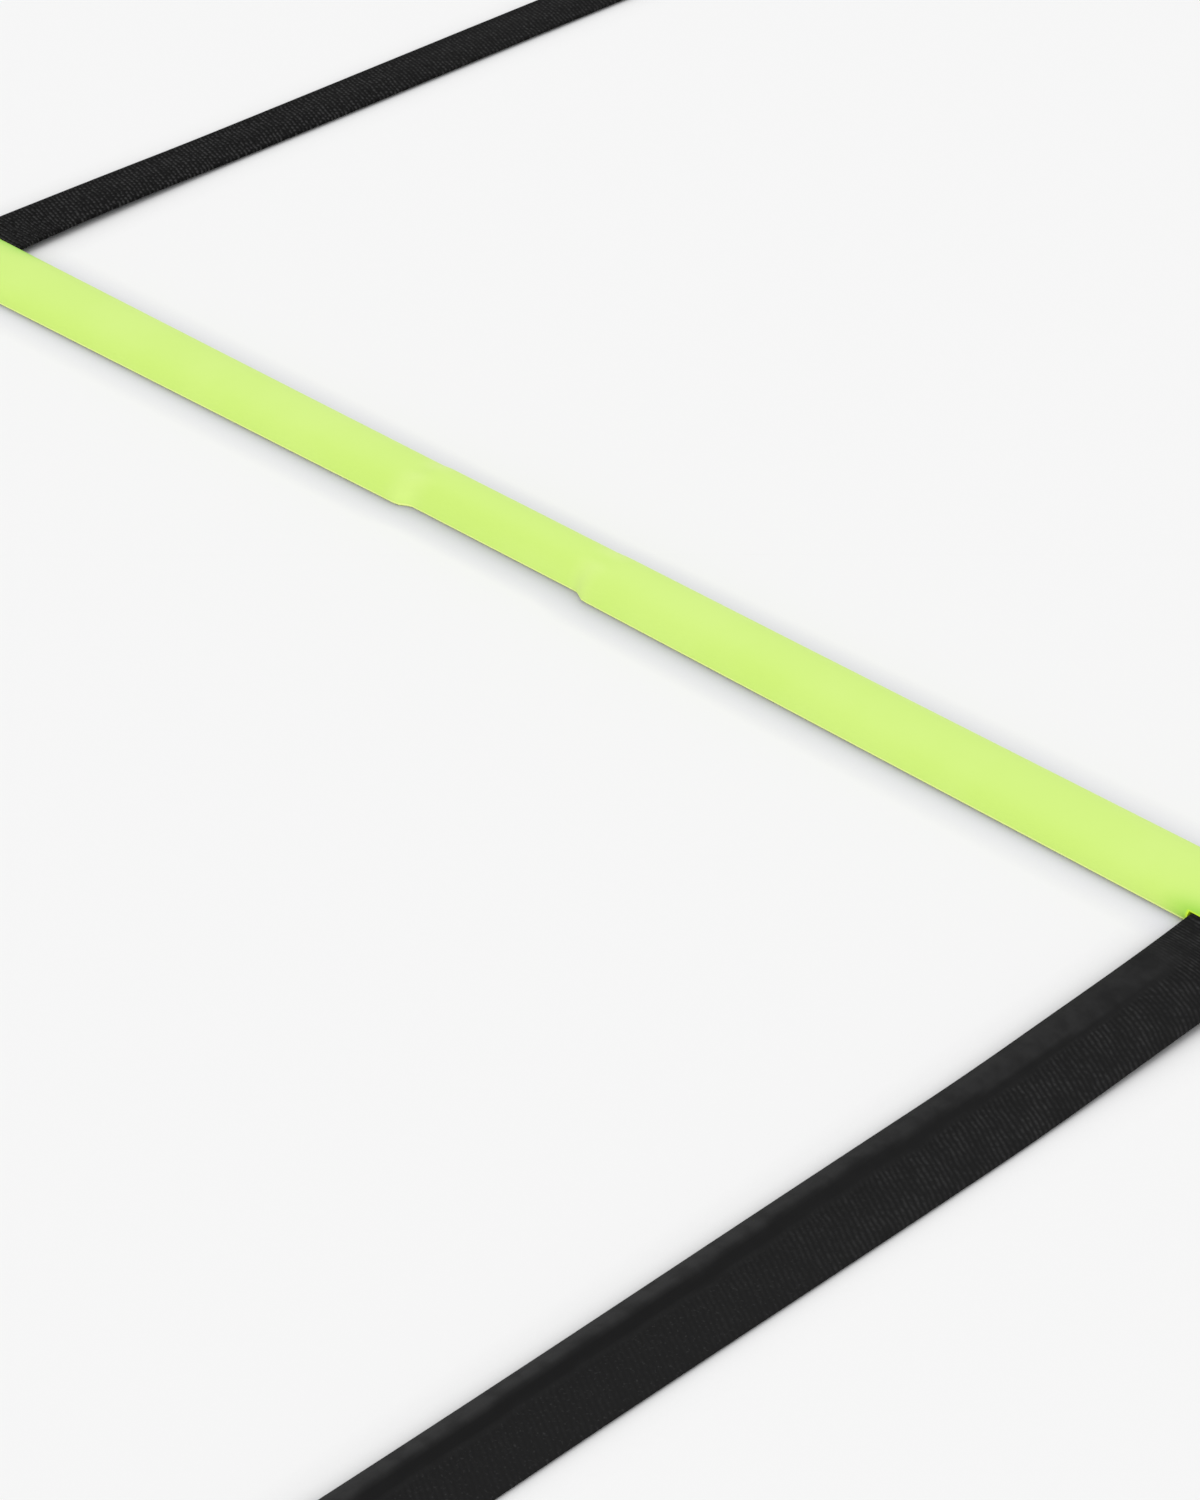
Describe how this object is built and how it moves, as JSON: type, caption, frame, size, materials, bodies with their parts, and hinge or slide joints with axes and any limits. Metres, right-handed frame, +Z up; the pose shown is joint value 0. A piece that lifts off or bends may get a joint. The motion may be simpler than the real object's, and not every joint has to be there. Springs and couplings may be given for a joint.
{
  "type": "agility ladder",
  "caption": "Training ladder laid flat: two webbing side straps threaded through the ends of flat moulded rungs that slide along them.",
  "frame": {"origin": "centre of the ladder on the floor, under the middle rung", "axes": "+X along the rungs, +Y along the straps, +Z up"},
  "size_m": [0.432, 4.565, 0.0065],
  "materials": {
    "rung": "satin yellow-green moulded plastic",
    "strap": "matte charcoal woven webbing"
  },
  "bodies": {
    "section_01": {"strap_left_01": "strap", "strap_right_01": "strap"},
    "rung_01": {"rung_01": "rung"},
    "section_02": {"strap_left_02": "strap", "strap_right_02": "strap"},
    "rung_02": {"rung_02": "rung"},
    "section_03": {"strap_left_03": "strap", "strap_right_03": "strap"},
    "rung_03": {"rung_03": "rung"},
    "section_04": {"strap_left_04": "strap", "strap_right_04": "strap"},
    "rung_04": {"rung_04": "rung"},
    "section_05": {"strap_left_05": "strap", "strap_right_05": "strap"},
    "rung_05": {"rung_05": "rung"},
    "section_06": {"strap_left_06": "strap", "strap_right_06": "strap"},
    "rung_06": {"rung_06": "rung"},
    "section_07": {"strap_left_07": "strap", "strap_right_07": "strap"},
    "rung_07": {"rung_07": "rung"},
    "section_08": {"strap_left_08": "strap", "strap_right_08": "strap"},
    "rung_08": {"rung_08": "rung"},
    "section_09": {"strap_left_09": "strap", "strap_right_09": "strap"},
    "rung_09": {"rung_09": "rung"},
    "section_10": {"strap_left_10": "strap", "strap_right_10": "strap"},
    "rung_10": {"rung_10": "rung"},
    "section_11": {"strap_left_11": "strap", "strap_right_11": "strap"},
    "rung_11": {"rung_11": "rung"}
  },
  "joints": [
    {"name": "rung_slide_01", "type": "slide", "parent": "section_01", "child": "rung_01", "axis": [0, 1, 0], "range_m": [-0.12, 0.12], "deforming": ["strap_left_01", "strap_right_01"]},
    {"name": "rung_slide_02", "type": "slide", "parent": "section_02", "child": "rung_02", "axis": [0, 1, 0], "range_m": [-0.12, 0.12], "deforming": ["strap_left_02", "strap_right_02"]},
    {"name": "rung_slide_03", "type": "slide", "parent": "section_03", "child": "rung_03", "axis": [0, 1, 0], "range_m": [-0.12, 0.12], "deforming": ["strap_left_03", "strap_right_03"]},
    {"name": "rung_slide_04", "type": "slide", "parent": "section_04", "child": "rung_04", "axis": [0, 1, 0], "range_m": [-0.12, 0.12], "deforming": ["strap_left_04", "strap_right_04"]},
    {"name": "rung_slide_05", "type": "slide", "parent": "section_05", "child": "rung_05", "axis": [0, 1, 0], "range_m": [-0.12, 0.12], "deforming": ["strap_left_05", "strap_right_05"]},
    {"name": "rung_slide_06", "type": "slide", "parent": "section_06", "child": "rung_06", "axis": [0, 1, 0], "range_m": [-0.12, 0.12], "deforming": ["strap_left_06", "strap_right_06"]},
    {"name": "rung_slide_07", "type": "slide", "parent": "section_07", "child": "rung_07", "axis": [0, 1, 0], "range_m": [-0.12, 0.12], "deforming": ["strap_left_07", "strap_right_07"]},
    {"name": "rung_slide_08", "type": "slide", "parent": "section_08", "child": "rung_08", "axis": [0, 1, 0], "range_m": [-0.12, 0.12], "deforming": ["strap_left_08", "strap_right_08"]},
    {"name": "rung_slide_09", "type": "slide", "parent": "section_09", "child": "rung_09", "axis": [0, 1, 0], "range_m": [-0.12, 0.12], "deforming": ["strap_left_09", "strap_right_09"]},
    {"name": "rung_slide_10", "type": "slide", "parent": "section_10", "child": "rung_10", "axis": [0, 1, 0], "range_m": [-0.12, 0.12], "deforming": ["strap_left_10", "strap_right_10"]},
    {"name": "rung_slide_11", "type": "slide", "parent": "section_11", "child": "rung_11", "axis": [0, 1, 0], "range_m": [-0.12, 0.12], "deforming": ["strap_left_11", "strap_right_11"]},
    {"name": "fold_01", "type": "hinge", "parent": "section_02", "child": "section_01", "pos_m": [0, -1.8675, 0.00285], "axis": [-1, 0, 0], "range_deg": [0, 175]},
    {"name": "fold_02", "type": "hinge", "parent": "section_03", "child": "section_02", "pos_m": [0, -1.4525, -0.00015], "axis": [1, 0, 0], "range_deg": [0, 175]},
    {"name": "fold_03", "type": "hinge", "parent": "section_04", "child": "section_03", "pos_m": [0, -1.0375, 0.00285], "axis": [-1, 0, 0], "range_deg": [0, 175]},
    {"name": "fold_04", "type": "hinge", "parent": "section_05", "child": "section_04", "pos_m": [0, -0.6225, -0.00015], "axis": [1, 0, 0], "range_deg": [0, 175]},
    {"name": "fold_05", "type": "hinge", "parent": "section_06", "child": "section_05", "pos_m": [0, -0.2075, 0.00285], "axis": [-1, 0, 0], "range_deg": [0, 175]},
    {"name": "fold_06", "type": "hinge", "parent": "section_06", "child": "section_07", "pos_m": [0, 0.2075, -0.00015], "axis": [-1, 0, 0], "range_deg": [0, 175]},
    {"name": "fold_07", "type": "hinge", "parent": "section_07", "child": "section_08", "pos_m": [0, 0.6225, 0.00285], "axis": [1, 0, 0], "range_deg": [0, 175]},
    {"name": "fold_08", "type": "hinge", "parent": "section_08", "child": "section_09", "pos_m": [0, 1.0375, -0.00015], "axis": [-1, 0, 0], "range_deg": [0, 175]},
    {"name": "fold_09", "type": "hinge", "parent": "section_09", "child": "section_10", "pos_m": [0, 1.4525, 0.00285], "axis": [1, 0, 0], "range_deg": [0, 175]},
    {"name": "fold_10", "type": "hinge", "parent": "section_10", "child": "section_11", "pos_m": [0, 1.8675, -0.00015], "axis": [-1, 0, 0], "range_deg": [0, 175]}
  ]
}
